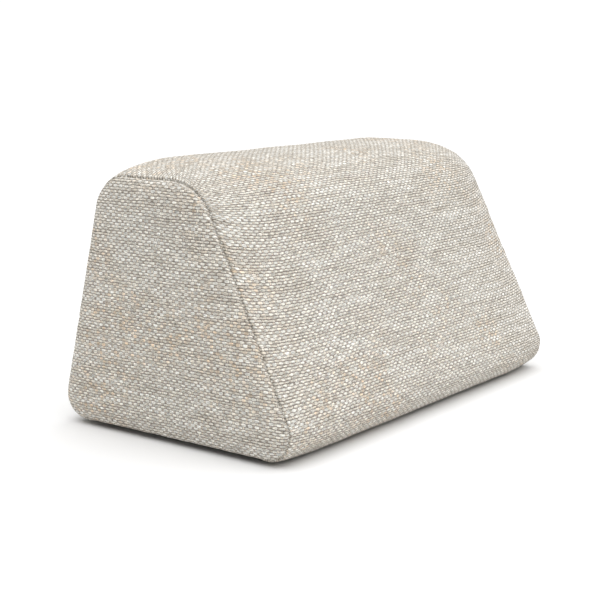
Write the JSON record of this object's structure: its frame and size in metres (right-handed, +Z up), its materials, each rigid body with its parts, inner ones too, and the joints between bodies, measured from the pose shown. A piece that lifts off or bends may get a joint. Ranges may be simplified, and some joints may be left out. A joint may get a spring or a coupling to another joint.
{
  "type": "lumbar support cushion",
  "caption": "Free-standing upholstered lumbar cushion of trapezoidal section: zipped woven cover, wadding wrap and glued foam core.",
  "frame": {"origin": "middle of the footprint, on the surface that the cushion stands on", "axes": "+X along the cushion towards its right end as seen from the front, the leaning front face looks along -Y, +Z up"},
  "size_m": [0.4706, 0.2741, 0.25],
  "materials": {
    "woven_cover": "chunky plain weave, cream and taupe melange",
    "base_cloth": "matt grip cloth",
    "zip_tape": "fine woven tape",
    "zip_coil": "nylon filament",
    "zip_metal": "satin gunmetal",
    "label": "blank satin",
    "wadding": "lofted polyester fibre",
    "firm_foam": "open-cell foam",
    "soft_foam": "open-cell foam"
  },
  "bodies": {
    "cushion": {"cover_main_panel": "woven_cover", "cover_rear_strip": "woven_cover", "cover_left_end_panel": "woven_cover", "cover_right_end_panel": "woven_cover", "base_panel": "base_cloth", "zip_tape_upper": "zip_tape", "zip_tape_lower": "zip_tape", "zip_coil_upper": "zip_coil", "zip_coil_lower": "zip_coil", "zip_top_stop_upper": "zip_metal", "zip_top_stop_lower": "zip_metal", "zip_bottom_stop": "zip_metal", "care_label": "label", "wadding_main": "wadding", "wadding_base": "wadding", "wadding_left_end": "wadding", "wadding_right_end": "wadding", "foam_core_lower": "firm_foam", "foam_core_upper": "soft_foam"},
    "zip_slider": {"zip_slider": "zip_metal"},
    "zip_pull": {"zip_pull": "zip_metal"}
  },
  "joints": [
    {"name": "zip_slide", "type": "slide", "parent": "cushion", "child": "zip_slider", "axis": [-1, 0, 0], "range_m": [0, 0.315]},
    {"name": "zip_pull_swing", "type": "hinge", "parent": "zip_slider", "child": "zip_pull", "pos_m": [0.158, 0.13499, 0.01207], "axis": [0, -0.5299, -0.848], "range_deg": [0, 160]}
  ]
}
